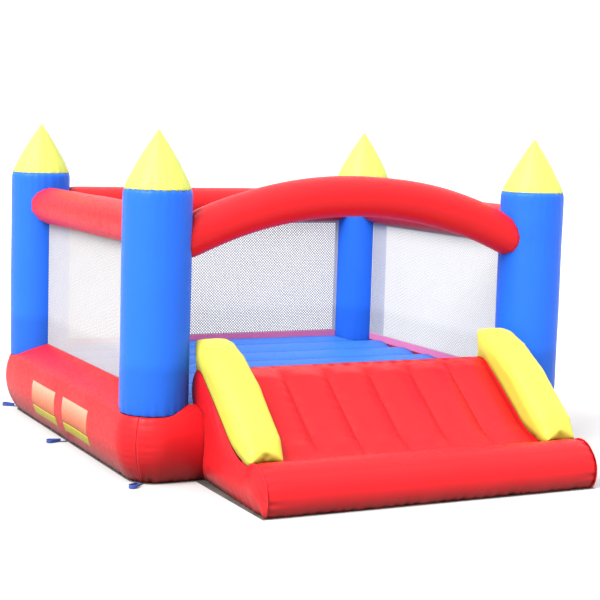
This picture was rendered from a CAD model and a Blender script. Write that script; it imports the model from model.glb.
"""Looks for a castle-style inflatable bounce house with a front slide."""
import math

import bmesh
import bpy
from mathutils import Matrix, Vector, noise
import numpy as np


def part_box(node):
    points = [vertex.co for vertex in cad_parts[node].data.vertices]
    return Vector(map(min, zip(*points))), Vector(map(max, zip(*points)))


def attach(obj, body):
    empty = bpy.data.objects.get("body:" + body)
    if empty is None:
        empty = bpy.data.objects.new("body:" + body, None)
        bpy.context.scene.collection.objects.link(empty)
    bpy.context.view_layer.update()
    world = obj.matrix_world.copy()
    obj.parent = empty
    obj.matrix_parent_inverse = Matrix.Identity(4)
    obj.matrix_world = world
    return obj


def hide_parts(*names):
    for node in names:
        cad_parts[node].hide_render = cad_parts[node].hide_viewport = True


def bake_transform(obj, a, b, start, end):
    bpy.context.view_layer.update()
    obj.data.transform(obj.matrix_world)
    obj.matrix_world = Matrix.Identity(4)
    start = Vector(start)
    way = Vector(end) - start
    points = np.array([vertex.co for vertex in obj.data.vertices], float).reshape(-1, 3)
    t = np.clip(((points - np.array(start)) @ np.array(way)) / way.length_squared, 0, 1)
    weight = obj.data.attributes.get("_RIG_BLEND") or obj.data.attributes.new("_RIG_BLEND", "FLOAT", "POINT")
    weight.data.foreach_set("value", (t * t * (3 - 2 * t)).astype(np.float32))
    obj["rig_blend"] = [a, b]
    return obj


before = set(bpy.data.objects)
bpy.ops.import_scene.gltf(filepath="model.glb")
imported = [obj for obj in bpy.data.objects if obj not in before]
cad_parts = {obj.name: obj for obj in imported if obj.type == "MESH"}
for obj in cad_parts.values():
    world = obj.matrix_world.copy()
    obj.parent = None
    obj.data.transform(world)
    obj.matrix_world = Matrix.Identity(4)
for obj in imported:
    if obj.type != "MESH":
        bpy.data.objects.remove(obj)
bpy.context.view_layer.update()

bl_info = {
    "name": "Inflatable Bounce House",
    "version": (1, 0, 0),
    "blender": (4, 5, 0),
    "location": "3D View > Sidebar > Bounce House",
    "description": "Sews the cloth, nets and trims of an inflatable bounce house",
    "category": "Add Mesh",
}

HOUSE = "house"
POST_LOW, POST_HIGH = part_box("front_right_post")
HALF_X = (POST_LOW.x + POST_HIGH.x) / 2
HALF_Y = -(POST_LOW.y + POST_HIGH.y) / 2
POST_RADIUS = (POST_HIGH.x - POST_LOW.x) / 2
RAIL_LOW, RAIL_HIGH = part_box("left_rail")
RAIL_RADIUS = (RAIL_HIGH.x - RAIL_LOW.x) / 2
RAIL_Z = (RAIL_LOW.z + RAIL_HIGH.z) / 2
SLIDE_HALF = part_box("slide_right_cheek")[1].x


def web_places(kind, axis):
    """Where a cloth is sewn to its inner webs, in their order."""
    places = []
    while "%s_%d" % (kind, len(places) + 1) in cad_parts:
        low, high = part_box("%s_%d" % (kind, len(places) + 1))
        places.append((low[axis] + high[axis]) / 2)
    return places


FLOOR_WEBS = web_places("floor_baffle", 1)
FLOOR_SEAMS = [2 * FLOOR_WEBS[0] - FLOOR_WEBS[1]] + FLOOR_WEBS
SLIDE_SEAMS = web_places("slide_baffle", 0)
SIDES = {  # side: (turn about Z, post axes from centre, half the post spacing)
    "right": (0, HALF_X, HALF_Y),
    "back": (90, HALF_Y, HALF_X),
    "left": (180, HALF_X, HALF_Y),
    "front": (270, HALF_Y, HALF_X),
}
POSTS = {
    "front_left": (-HALF_X, -HALF_Y),
    "front_right": (HALF_X, -HALF_Y),
    "back_left": (-HALF_X, HALF_Y),
    "back_right": (HALF_X, HALF_Y),
}


# ---- sizes and colours that a user would change ------------------------------
def length(name, description, default):
    return bpy.props.FloatProperty(
        name=name, description=description, default=default, min=0.0, unit="LENGTH"
    )


def factor(name, description):
    return bpy.props.FloatProperty(
        name=name, description=description, default=1.0, min=0.01
    )


def colour(name, description, default):
    return bpy.props.FloatVectorProperty(
        name=name, description=description, default=default, size=4, min=0, max=1,
        subtype="COLOR",
    )


class HouseSizes(bpy.types.PropertyGroup):
    fabric: length("Fabric", "Thickness of a sewn panel", 0.003)
    fold_depth: factor("Fold depth", "Times the depth of every seam's folds")
    fold_spacing: factor("Fold spacing", "Times the distance between folds")
    fold_reach: factor("Fold reach", "Times how far folds run off a seam")
    slack: length("Slack", "Soft rise and fall of a large panel", 0.006)
    net_pitch: length("Net pitch", "Distance between two strands of the netting", 0.016)
    net_strand: length("Net strand", "Width of one strand of the netting", 0.0072)
    hem: length("Net hem", "Height of the coloured band along the foot of a net", 0.052)
    tape: length("Net tape", "Width of the tape round each net", 0.016)
    channel_rise: length("Slide channels", "Rise of the bed between its seams", 0.042)


class HouseColours(bpy.types.PropertyGroup):
    red: colour("Red", "Walls, rails and slide", (0.53, 0.008, 0.012, 1))
    blue: colour("Blue", "Posts", (0.012, 0.105, 0.58, 1))
    floor: colour("Floor", "Bounce floor", (0.028, 0.138, 0.52, 1))
    yellow: colour("Yellow", "Bumpers", (0.51, 0.475, 0.060, 1))
    cap: colour("Cap", "Cone caps", (0.48, 0.53, 0.095, 1))
    net: colour("Net", "Netting and its tape", (0.43, 0.43, 0.43, 1))
    hem: colour("Net hem", "Band along the foot of each net", (0.66, 0.13, 0.36, 1))
    sheet: colour("Ground sheet", "Sheet under the walls", (0.018, 0.018, 0.022, 1))
    webbing: colour("Anchor webbing", "Anchor loops", (0.012, 0.050, 0.30, 1))
    strap: colour("Tie strap", "Straps on the air sleeves", (0.02, 0.02, 0.024, 1))
    panel_top: colour("Panel top", "Side panels, upper edge", (0.54, 0.26, 0.17, 1))
    panel_low: colour("Panel foot", "Side panels, lower edge", (0.52, 0.09, 0.010, 1))
    band: colour("Panel band", "Band under each side panel", (0.44, 0.38, 0.004, 1))
    web: colour("Inner webs", "Webs in the floor and the slide", (0.55, 0.56, 0.60, 1))


def sizes():
    return bpy.context.scene.bounce_house_sizes


def colours():
    return bpy.context.scene.bounce_house_colours


# ---- node groups and materials -----------------------------------------------
def add_node(tree, kind, inputs=None, **settings):
    """Add a node, set it up and feed its inputs with links or plain values."""
    node = tree.nodes.new(kind)
    for key, value in settings.items():
        setattr(node, key, value)
    for key, value in (inputs or {}).items():
        if isinstance(value, bpy.types.NodeSocket):
            tree.links.new(value, node.inputs[key])
        else:
            node.inputs[key].default_value = value
    return node


def start_group(name, inputs, outputs):
    """A new node group with its sockets, or None if it has been built already."""
    if name in bpy.data.node_groups:
        return None
    tree = bpy.data.node_groups.new(name, "ShaderNodeTree")
    for label, kind, value in inputs:
        socket = tree.interface.new_socket(label, in_out="INPUT", socket_type=kind)
        if value is not None:
            socket.default_value = value
    for label, kind in outputs:
        tree.interface.new_socket(label, in_out="OUTPUT", socket_type=kind)
    return tree


def math_node(tree, operation, a, b=0.0, c=None):
    inputs = {0: a, 1: b}
    if c is not None:
        inputs[2] = c
    return add_node(tree, "ShaderNodeMath", inputs, operation=operation).outputs[0]


def map_range(tree, value, source, target):
    """Map a value from one (low, high) to another, and stop at its ends."""
    inputs = {"Value": value, 1: source[0], 2: source[1], 3: target[0], 4: target[1]}
    return add_node(tree, "ShaderNodeMapRange", inputs).outputs[0]


def mix_colours(tree, share, first, second, **settings):
    return add_node(
        tree, "ShaderNodeMix", {0: share, 6: first, 7: second}, data_type="RGBA",
        **settings
    ).outputs[2]


def bump_node(tree, strength, distance, height, normal=None):
    inputs = {"Strength": strength, "Distance": distance, "Height": height}
    if normal:
        inputs["Normal"] = normal
    return add_node(tree, "ShaderNodeBump", inputs).outputs[0]


def object_place(tree):
    return add_node(tree, "ShaderNodeTexCoord").outputs["Object"]


def height_of(tree, vector):
    return add_node(tree, "ShaderNodeSeparateXYZ", {0: vector}).outputs[2]


def scaled_colour(base, share, lift=0.0):
    return tuple(min(1.0, share * c + lift) for c in base[:3]) + (1.0,)


FLOAT, VECTOR, COLOUR = "NodeSocketFloat", "NodeSocketVector", "NodeSocketColor"


def cloth_weave_group():
    """Plain weave of a coated Oxford cloth: threads over and under each other."""
    tree = start_group(
        "cloth_weave",
        [("Vector", VECTOR, None), ("Threads", FLOAT, 2200.0)],
        [("Height", FLOAT)],
    )
    if tree:
        inner = add_node(tree, "NodeGroupInput")
        scaled = add_node(
            tree, "ShaderNodeVectorMath",
            {0: inner.outputs["Vector"], 3: inner.outputs["Threads"]},
            operation="SCALE",
        )
        parts = add_node(tree, "ShaderNodeSeparateXYZ", {0: scaled.outputs[0]})
        warp = math_node(tree, "SINE", parts.outputs[0])
        weft = math_node(tree, "SINE", parts.outputs[1])
        depth = math_node(tree, "SINE", parts.outputs[2])
        crossed = math_node(tree, "MULTIPLY", warp, weft)
        height = math_node(tree, "MULTIPLY_ADD", depth, 0.4, crossed)
        add_node(tree, "NodeGroupOutput", {"Height": height})
    return bpy.data.node_groups["cloth_weave"]


def soft_creases_group():
    """Broad soft creases and small ones of taut coated cloth."""
    tree = start_group(
        "soft_creases",
        [("Vector", VECTOR, None), ("Size", FLOAT, 9.0), ("Fine", FLOAT, 0.04)],
        [("Height", FLOAT)],
    )
    if tree:
        inner = add_node(tree, "NodeGroupInput")
        broad = add_node(
            tree, "ShaderNodeTexNoise",
            {"Vector": inner.outputs["Vector"], "Scale": inner.outputs["Size"],
             "Detail": 3.0, "Roughness": 0.5, "Distortion": 0.6},
        )
        size = math_node(tree, "MULTIPLY", inner.outputs["Size"], 6.0)
        small = add_node(
            tree, "ShaderNodeTexNoise",
            {"Vector": inner.outputs["Vector"], "Scale": size, "Detail": 2.0,
             "Distortion": 1.2},
        )
        height = math_node(
            tree, "MULTIPLY_ADD", small.outputs[0], inner.outputs["Fine"],
            broad.outputs[0],
        )
        add_node(tree, "NodeGroupOutput", {"Height": height})
    return bpy.data.node_groups["soft_creases"]


def seam_stitch_group():
    """A double row of stitches and a pressed line beside a sewn seam."""
    tree = start_group(
        "seam_stitch",
        [("Distance", FLOAT, 1.0), ("Along", FLOAT, 0.0), ("Stitch", FLOAT, 0.009),
         ("Press", FLOAT, 0.012)],
        [("Mask", FLOAT), ("Fold", FLOAT), ("Height", FLOAT)],
    )
    if tree:
        inner = add_node(tree, "NodeGroupInput")
        distance = inner.outputs["Distance"]
        row = math_node(tree, "SUBTRACT", distance, 0.006)
        row = math_node(tree, "ABSOLUTE", row)
        row = math_node(tree, "DIVIDE", row, 0.0016)
        row = math_node(tree, "SUBTRACT", 1.0, row)
        row = math_node(tree, "MAXIMUM", row, 0.0)
        along, stitch = inner.outputs["Along"], inner.outputs["Stitch"]
        turns = math_node(tree, "DIVIDE", along, stitch)
        dash = math_node(tree, "FRACT", turns)
        dash = math_node(tree, "LESS_THAN", dash, 0.68)
        mask = math_node(tree, "MULTIPLY", row, dash)
        fold = math_node(tree, "DIVIDE", distance, inner.outputs["Press"])
        fold = math_node(tree, "SUBTRACT", 1.0, fold)
        fold = math_node(tree, "MAXIMUM", fold, 0.0)
        fold = math_node(tree, "MULTIPLY", fold, fold)
        height = math_node(tree, "MULTIPLY_ADD", mask, 0.6, math_node(
            tree, "MULTIPLY", fold, -1.0))
        outputs = {"Mask": mask, "Fold": fold, "Height": height}
        add_node(tree, "NodeGroupOutput", outputs)
    return bpy.data.node_groups["seam_stitch"]


DUST_COLOUR = (0.30, 0.26, 0.22, 1.0)
DUST_HEIGHTS = (0.0, 0.14)  # where dust lies on the cloth, from most to none
DEEP_HEIGHTS = (0.35, 0.75)  # where the deep undersides start to fade and end
DEEP_TURN = (0.20, -0.75)  # the normal's Z where they start and are deepest
DEEP_SHARE = 0.18  # what is left of the colour's value there


def use_marks_group():
    """Dust near the ground, faint cloudy fading and scuffs, as one colour."""
    tree = start_group(
        "use_marks",
        [("Colour", COLOUR, None), ("Vector", VECTOR, None), ("Dust", FLOAT, 0.25),
         ("Fade", FLOAT, 0.10)],
        [("Colour", COLOUR), ("Roughness", FLOAT)],
    )
    if tree:
        inner = add_node(tree, "NodeGroupInput")
        height = height_of(tree, inner.outputs["Vector"])
        low = map_range(tree, height, DUST_HEIGHTS, (1.0, 0.0))
        cloud = add_node(
            tree, "ShaderNodeTexNoise",
            {"Vector": inner.outputs["Vector"], "Scale": 5.0, "Detail": 5.0,
             "Roughness": 0.6},
        )
        dust = math_node(tree, "MULTIPLY", low, cloud.outputs[0])
        dust = math_node(tree, "MULTIPLY", dust, inner.outputs["Dust"])
        fade = math_node(tree, "SUBTRACT", cloud.outputs[0], 0.5)
        fade = math_node(tree, "MULTIPLY", fade, inner.outputs["Fade"])
        bright = math_node(tree, "ADD", fade, 1.0)
        shade = add_node(
            tree, "ShaderNodeHueSaturation",
            {"Color": inner.outputs["Colour"], "Value": bright},
        )
        # near the ground the cloth is deeper in colour where it turns under
        normal = add_node(tree, "ShaderNodeNewGeometry").outputs["Normal"]
        under = map_range(tree, height_of(tree, normal), DEEP_TURN, (1.0, DEEP_SHARE))
        raised = map_range(tree, height, DEEP_HEIGHTS, (0.0, 1.0))
        under = math_node(tree, "MAXIMUM", under, raised)
        deep = add_node(
            tree, "ShaderNodeHueSaturation", {"Color": shade.outputs[0], "Value": under}
        )
        dusty = mix_colours(tree, dust, deep.outputs[0], DUST_COLOUR)
        scuff = add_node(
            tree, "ShaderNodeTexNoise",
            {"Vector": inner.outputs["Vector"], "Scale": 38.0, "Detail": 3.0},
        )
        rough = map_range(tree, scuff.outputs[0], (0.3, 0.7), (0.36, 0.50))
        rough = math_node(tree, "MULTIPLY_ADD", dust, 0.5, rough)
        add_node(tree, "NodeGroupOutput", {"Colour": dusty, "Roughness": rough})
    return bpy.data.node_groups["use_marks"]


def attribute_value(tree, name):
    return add_node(
        tree, "ShaderNodeAttribute", attribute_name=name, attribute_type="GEOMETRY"
    ).outputs["Fac"]


def new_material(name):
    material = bpy.data.materials.new(name)
    material.use_nodes = True
    tree = material.node_tree
    shader = tree.nodes["Principled BSDF"]
    return material, tree, shader


def surface_vector(tree):
    """Where a point is on its own cloth: across it and along it, in metres."""
    across, along = attribute_value(tree, "across"), attribute_value(tree, "along")
    return add_node(
        tree, "ShaderNodeCombineXYZ", {0: across, 1: along}
    ).outputs[0], along


def coated_cloth(name, base, is_sewn=True, dust=0.06, threads=2200.0, gloss=0.16,
                 sheen=0.01, press=0.012, shade=0.45):
    """PVC-coated Oxford cloth with weave, creases, stitches and signs of use."""
    if name in bpy.data.materials:
        return bpy.data.materials[name]
    material, tree, shader = new_material(name)
    place = object_place(tree)
    marks = add_node(tree, "ShaderNodeGroup", node_tree=use_marks_group())
    tree.links.new(place, marks.inputs["Vector"])
    marks.inputs["Colour"].default_value = base
    marks.inputs["Dust"].default_value = dust
    creases = add_node(tree, "ShaderNodeGroup", node_tree=soft_creases_group())
    tree.links.new(place, creases.inputs["Vector"])
    relief = bump_node(tree, 0.25, 0.010, creases.outputs["Height"])
    weave = add_node(tree, "ShaderNodeGroup", node_tree=cloth_weave_group())
    weave.inputs["Threads"].default_value = threads
    cloth_colour = marks.outputs["Colour"]
    if is_sewn:
        across_along, along = surface_vector(tree)
        tree.links.new(across_along, weave.inputs["Vector"])
        stitch = add_node(tree, "ShaderNodeGroup", node_tree=seam_stitch_group())
        tree.links.new(attribute_value(tree, "seam"), stitch.inputs["Distance"])
        tree.links.new(along, stitch.inputs["Along"])
        stitch.inputs["Press"].default_value = press
        pressed = math_node(tree, "MULTIPLY", stitch.outputs["Fold"], shade)
        darker = mix_colours(tree, pressed, cloth_colour, scaled_colour(base, 0.35))
        thread = scaled_colour(base, 1.15, lift=0.03)
        cloth_colour = mix_colours(tree, stitch.outputs["Mask"], darker, thread)
        relief = bump_node(tree, 0.8, 0.0016, stitch.outputs["Height"], relief)
    else:
        tree.links.new(place, weave.inputs["Vector"])
    relief = bump_node(tree, 0.04, 0.0003, weave.outputs["Height"], relief)
    tree.links.new(cloth_colour, shader.inputs["Base Color"])
    tree.links.new(marks.outputs["Roughness"], shader.inputs["Roughness"])
    tree.links.new(relief, shader.inputs["Normal"])
    shader.inputs["Specular IOR Level"].default_value = gloss
    shader.inputs["Sheen Weight"].default_value = sheen
    shader.inputs["Sheen Roughness"].default_value = 0.35
    return material


def woven_tape(name, base, threads=700.0, rough=0.8):
    """Webbing or tape: a heavy diagonal weave, matt, with darker valleys."""
    if name in bpy.data.materials:
        return bpy.data.materials[name]
    material, tree, shader = new_material(name)
    place = object_place(tree)
    turned = add_node(
        tree, "ShaderNodeMapping",
        {"Vector": place, "Rotation": (0.0, 0.0, math.pi / 4)},
    )
    weave = add_node(tree, "ShaderNodeGroup", node_tree=cloth_weave_group())
    weave.inputs["Threads"].default_value = threads
    tree.links.new(turned.outputs[0], weave.inputs["Vector"])
    marks = add_node(tree, "ShaderNodeGroup", node_tree=use_marks_group())
    tree.links.new(place, marks.inputs["Vector"])
    marks.inputs["Colour"].default_value = base
    marks.inputs["Dust"].default_value = 0.08
    valley = map_range(tree, weave.outputs["Height"], (-1.0, 0.2), (0.30, 0.0))
    shade = mix_colours(tree, valley, marks.outputs["Colour"], scaled_colour(base, 0.4))
    bump = bump_node(tree, 0.6, 0.0006, weave.outputs["Height"])
    worn = math_node(
        tree, "MULTIPLY_ADD", marks.outputs["Roughness"], 0.3, rough - 0.13
    )
    tree.links.new(shade, shader.inputs["Base Color"])
    tree.links.new(worn, shader.inputs["Roughness"])
    tree.links.new(bump, shader.inputs["Normal"])
    shader.inputs["Sheen Weight"].default_value = 0.1
    return material


def tint(tree, colour_socket):
    """Feed a cloth's own colour from a socket."""
    for node in tree.nodes:
        if node.type == "GROUP" and node.node_tree.name == "use_marks":
            tree.links.new(colour_socket, node.inputs["Colour"])


def blank_panel(name, top, foot, low_z, high_z):
    """A plain panel whose colour runs from one shade to another up the wall."""
    material = coated_cloth(name, top, dust=0.1)
    tree = material.node_tree
    place = object_place(tree)
    share = map_range(tree, height_of(tree, place), (low_z, high_z), (0.0, 1.0))
    tint(tree, mix_colours(tree, share, foot, top))
    return material


def net_tape(hem_top):
    """The tape round a net, with a coloured band along its foot."""
    material = woven_tape("net_tape", tuple(colours().net), 1800.0)
    tree = material.node_tree
    if "hem" in tree.nodes:
        return material
    place = object_place(tree)
    is_hem = math_node(tree, "LESS_THAN", height_of(tree, place), hem_top)
    net, hem = tuple(colours().net), tuple(colours().hem)
    tint(tree, mix_colours(tree, is_hem, net, hem, name="hem"))
    return material


# ---- modelling helpers -------------------------------------------------------
CLOTH_LAYERS = ("across", "along", "seam")


def new_cloth():
    """An empty mesh whose points know their place on the cloth."""
    bm = bmesh.new()
    for name in CLOTH_LAYERS:
        bm.verts.layers.float.new(name)
    return bm


def layers_of(bm):
    """Each point's place across the cloth and along it, and its distance to a seam."""
    return [bm.verts.layers.float[name] for name in CLOTH_LAYERS]


def verts_of(geometry):
    return [g for g in geometry if isinstance(g, bmesh.types.BMVert)]


def edges_of(geometry):
    return [g for g in geometry if isinstance(g, bmesh.types.BMEdge)]


def section(place):
    """A point of a section that is given as (out, height), in metres."""
    return Vector((place[0], 0.0, place[1]))


def circle_through(a, b, c):
    """Centre, axis and signed angle of the arc from a through b to c, in XZ."""
    axis = Vector((0, 1, 0))
    ab, ac = b - a, c - a
    normal = ab.cross(ac)
    centre = a + (
        normal.cross(ab) * ac.length_squared + ac.cross(normal) * ab.length_squared
    ) / (2 * normal.length_squared)
    start, end = a - centre, c - centre
    angle = math.atan2(start.cross(end).dot(axis), start.dot(end))
    if normal.dot(axis) > 0 and angle < 0:
        angle += math.tau
    if normal.dot(axis) < 0 and angle > 0:
        angle -= math.tau
    return centre, axis, angle


class Outline:
    """An open line drawn in a section, point by point, with operators only."""

    def __init__(self, bm, start):
        self.bm = bm
        self.verts = [bm.verts.new(section(start))]

    def line(self, end, steps=1):
        step = (section(end) - self.verts[-1].co) / steps
        for _ in range(steps):
            made = bmesh.ops.extrude_vert_indiv(self.bm, verts=[self.verts[-1]])
            bmesh.ops.translate(self.bm, verts=made["verts"], vec=step)
            self.verts.append(made["verts"][0])
        return self

    def arc(self, middle, end, steps):
        first = self.verts[-1]
        centre, axis, angle = circle_through(first.co, section(middle), section(end))
        known = set(self.bm.verts)
        bmesh.ops.spin(
            self.bm, geom=[first], cent=centre, axis=axis, angle=angle, steps=steps,
            use_duplicate=False,
        )
        made = [v for v in self.bm.verts if v not in known]
        if (made[-1].co - section(end)).length > 1e-4:
            raise RuntimeError("an arc of a section doesn't end where it should")
        self.verts.extend(made)
        return self

    def edges(self):
        pairs = zip(self.verts, self.verts[1:])
        return [self.bm.edges.get(pair) for pair in pairs]

    def measure(self):
        """Write each point's distance from the start of the line."""
        layer = self.bm.verts.layers.float["across"]
        run = 0.0
        for before, after in zip(self.verts, self.verts[1:]):
            run += (after.co - before.co).length
            after[layer] = run
        return run


def sweep(bm, edges, step, count):
    """Extrude a line of edges step by step, and give back its last edges."""
    for _ in range(count):
        made = bmesh.ops.extrude_edge_only(bm, edges=edges)["geom"]
        bmesh.ops.translate(bm, verts=verts_of(made), vec=step)
        edges = edges_of(made)
    return edges


def press_folds(bm, rule):
    """Move points along the surface's own normal by what a rule says."""
    bm.normal_update()
    across, along, seam = layers_of(bm)
    moves = [
        (v, v.normal * rule(v.co, v[across], v[along], v[seam])) for v in bm.verts
    ]
    for v, move in moves:
        v.co += move


FOLDS = {  # seam: (depth, distance between two folds, how far they run), in metres
    "wall foot": (0.010, 0.07, 0.04),
    "wall corner": (0.006, 0.055, 0.05),
    "wall top": (0.006, 0.055, 0.05),
    "floor channel": (0.0045, 0.048, 0.028),
    "floor edge": (0.004, 0.055, 0.05),
    "bed channel": (0.006, 0.085, 0.05),
    "bed end": (0.018, 0.125, 0.07),
    "bolster end": (0.016, 0.064, 0.050),
    "bolster foot": (0.008, 0.08, 0.04),
    "bolster crease": (0.012, 0.082, 0.055),
    "rear end": (0.008, 0.055, 0.04),
    "cheek": (0.010, 0.06, 0.035),
    "cheek foot": (0.012, 0.085, 0.05),
    "post foot": (0.007, 0.062, 0.05),
    "post top": (0.008, 0.055, 0.045),
    "post rail": (0.004, 0.055, 0.04),
    "cap foot": (0.010, 0.058, 0.05),
    "rail end": (0.011, 0.058, 0.055),
    "sleeve root": (0.008, 0.04, 0.03),
    "sleeve tie": (0.008, 0.045, 0.025),
    "sleeve mouth": (0.004, 0.055, 0.03),
}


def fold(seam, along, distance, seed):
    """Small folds that run off a sewn seam and die out away from it."""
    user = sizes()
    depth, spacing, reach = FOLDS[seam]
    depth, spacing = depth * user.fold_depth, spacing * user.fold_spacing
    reach *= user.fold_reach
    fade = math.exp(-distance / reach)
    if fade < 0.01:
        return 0.0
    drift = noise.noise(Vector((along / (2.3 * spacing), seed, 0.5)))
    wave = math.sin(math.tau * along / spacing + 4.0 * drift)
    strength = 0.75 + 0.9 * noise.noise(Vector((along / (1.4 * spacing), seed, 7.5)))
    return -depth * fade * max(0.0, strength) * (0.55 + 0.45 * wave)


def ramp(value, full):
    """0 up to 1 while a value goes from 0 to full."""
    return min(1.0, max(0.0, value / full))


def tuck(distance, depth, reach):
    """The cloth drawn in by a seam, less and less away from it."""
    return -depth * math.exp(-distance / reach)


def bell(place, centre, width, height):
    """A rounded swelling about one place."""
    return math.exp(-((place - centre) / width) ** 2) * height


def swell(place, seed, scale=2.6):
    """Soft rise and fall of a panel under air pressure."""
    return sizes().slack * noise.noise(place * scale + Vector((seed, 0, 0)))


def point_outwards(bm, inside):
    """Turn every face so that it looks away from a point inside the piece."""
    bmesh.ops.recalc_face_normals(bm, faces=bm.faces)
    total = 0.0
    for f in bm.faces:
        total += f.calc_area() * f.normal.dot(f.calc_center_median() - inside)
    if total < 0:
        bmesh.ops.reverse_faces(bm, faces=bm.faces)


def add_object(name, data):
    added = bpy.data.objects.new(name, data)
    bpy.context.scene.collection.objects.link(added)
    return added


def finish_mesh(name, bm):
    """Put a drawn shape into the scene."""
    mesh = bpy.data.meshes.new(name)
    bm.to_mesh(mesh)
    bm.free()
    return add_object(name, mesh)


def make_piece(name, bm, material, nodes=(), body=HOUSE, thickness=None,
               levels=0, is_smooth=True):
    """Make the finished object, and say what it stands for and what it rides on."""
    piece = finish_mesh(name, bm)
    for polygon in piece.data.polygons:
        polygon.use_smooth = is_smooth
    piece.data.materials.append(material)
    if thickness:
        wall = piece.modifiers.new("fabric", "SOLIDIFY")
        wall.thickness = thickness
        wall.offset = -1.0
    if levels:
        smooth = piece.modifiers.new("smooth", "SUBSURF")
        smooth.levels = smooth.render_levels = levels
    if body:
        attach(piece, body)
    if nodes:
        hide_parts(*nodes)
    return piece


def side_matrix(side):
    """From a frame with +X out of the post axes and +Y along, to the house's own."""
    turn, out, _ = SIDES[side]
    return Matrix.Rotation(math.radians(turn), 4, "Z") @ Matrix.Translation((out, 0, 0))


def place_on_side(bm, side):
    bmesh.ops.transform(bm, matrix=side_matrix(side), verts=bm.verts)


def house_cloth(name, **looks):
    """The coated cloth that has one of the house's own colours."""
    base = tuple(getattr(colours(), name))
    return coated_cloth(name + "_coated_cloth", base, **looks)


# ---- base walls --------------------------------------------------------------
FOOT = (0.150, 0.003)
BULGE = (0.243, 0.200)
SHOULDER = (0.212, 0.420)
SIDE_TOP = ((0.108, 0.486), (0.0, 0.525))
FRONT_TOP = ((0.142, 0.474), (0.078, 0.461))
LIP_FOOT_Z = 0.438
LIP = 0.09  # the smooth strip along a wall's top, where the nets are sewn on
CORNER_STEPS = 14
WALL_ROWS = 150


def wall_face(bm):
    """The outer half of a wall's section, from the ground to the shoulder."""
    return Outline(bm, FOOT).arc(BULGE, SHOULDER, 30)


def wall_relief(side, place, along, half, across, whole):
    """How far a wall's cloth stands in or out of its plain section, in metres."""
    seed = {"left": 1.0, "right": 2.0, "back": 3.0, "front": 4.0}[side]
    hem = fold("wall foot", along, max(0.0, across), seed)
    corner = fold("wall corner", across * 1.3, abs(abs(along) - half - 0.12), seed + 5)
    top = fold("wall top", along, max(0.0, whole - across - LIP), seed + 9)
    free = ramp(whole - across - LIP, 0.05)
    return free * (hem + corner + top + swell(place, seed) * min(1.0, across / 0.08))


def make_base_wall(side):
    half = SIDES[side][2]
    top = FRONT_TOP if side == "front" else SIDE_TOP
    bm = new_cloth()
    outline = wall_face(bm)
    outer = len(outline.verts)
    outline.arc(top[0], top[1], 20).line((top[1][0], LIP_FOOT_Z), 4)
    whole = outline.measure()
    across, along, seam = layers_of(bm)
    face_edges = outline.edges()[: outer - 1]
    bmesh.ops.translate(bm, verts=bm.verts, vec=(0, -half, 0))
    # the round corners under the posts, from copies of the outer half
    for end in (-1, 1):
        geometry = outline.verts[:outer] + face_edges
        copy = verts_of(bmesh.ops.duplicate(bm, geom=geometry)["geom"])
        shift = (0, 0, 0) if end < 0 else (0, 2 * half, 0)
        bmesh.ops.translate(bm, verts=copy, vec=shift)
        row = {e for v in copy for e in v.link_edges}
        bmesh.ops.spin(
            bm, geom=copy + list(row), cent=(0, end * half, 0), axis=(0, 0, 1),
            angle=end * math.pi / 4, steps=CORNER_STEPS, use_duplicate=False,
        )
    sweep(bm, outline.edges(), Vector((0, 2 * half / WALL_ROWS, 0)), WALL_ROWS)
    for v in bm.verts:
        turn = 0.0
        if abs(v.co.y) > half + 1e-5:
            end = math.copysign(half, v.co.y)
            turn = math.atan2(v.co.y - end, v.co.x) * BULGE[0]
        v[along] = max(-half, min(half, v.co.y)) + turn
    # the crest stops at the post that it runs against
    for v in bm.verts:
        inside = POST_RADIUS ** 2 - v.co.x ** 2
        if v.co.z > SHOULDER[1] + 1e-4 and inside > 0:
            v.co.y *= (half - math.sqrt(inside)) / half
    bmesh.ops.remove_doubles(bm, verts=bm.verts, dist=1e-5)
    point_outwards(bm, Vector((0, 0, 0.25)))
    corner = half + BULGE[0] * math.pi / 4
    for v in bm.verts:
        v[seam] = min(corner - abs(v[along]), v[across], whole - v[across])
    matrix = side_matrix(side)
    press_folds(
        bm, lambda p, a, s, d: wall_relief(side, matrix @ p, s, half, a, whole)
        * ramp(corner - abs(s), 0.02)
    )
    if side == "back":
        for node in ("inlet_collar", "outlet_collar"):
            open_throat(bm, node)
    place_on_side(bm, side)
    make_piece(
        side + "_wall_cloth", bm, house_cloth("red"), [side + "_base_wall"],
        thickness=sizes().fabric,
    )


def open_throat(bm, node):
    """Open a round hole in the back wall's cloth where an air sleeve leaves it."""
    low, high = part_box(node)
    middle = side_matrix("back").inverted() @ ((low + high) / 2)
    radius = (high.z - low.z) / 2 - 0.002
    gone = []
    for f in bm.faces:
        offset = f.calc_center_median() - middle
        if f.normal.x > 0 and math.hypot(offset.y, offset.z) < radius:
            gone.append(f)
    rim = {v for f in gone for v in f.verts}
    bmesh.ops.delete(bm, geom=gone, context="FACES")
    for v in rim:
        if v.is_valid and v.is_boundary:
            offset = Vector((0, v.co.y - middle.y, v.co.z - middle.z))
            offset *= radius / max(offset.length, 1e-6)
            v.co.y, v.co.z = middle.y + offset.y, middle.z + offset.z


class BaseWalls(bpy.types.Operator):
    """Sew the four base walls with their round corners"""
    bl_idname = "bounce_house.base_walls"
    bl_label = "Base walls"

    def execute(self, context):
        for side in SIDES:
            make_base_wall(side)
        return {"FINISHED"}


# ---- bounce floor ------------------------------------------------------------
FLOOR_SEAM_Z = 0.444
FLOOR_CROWN_Z = 0.476
FLOOR_GAP = 0.001
FLOOR_ROWS = 170


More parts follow.
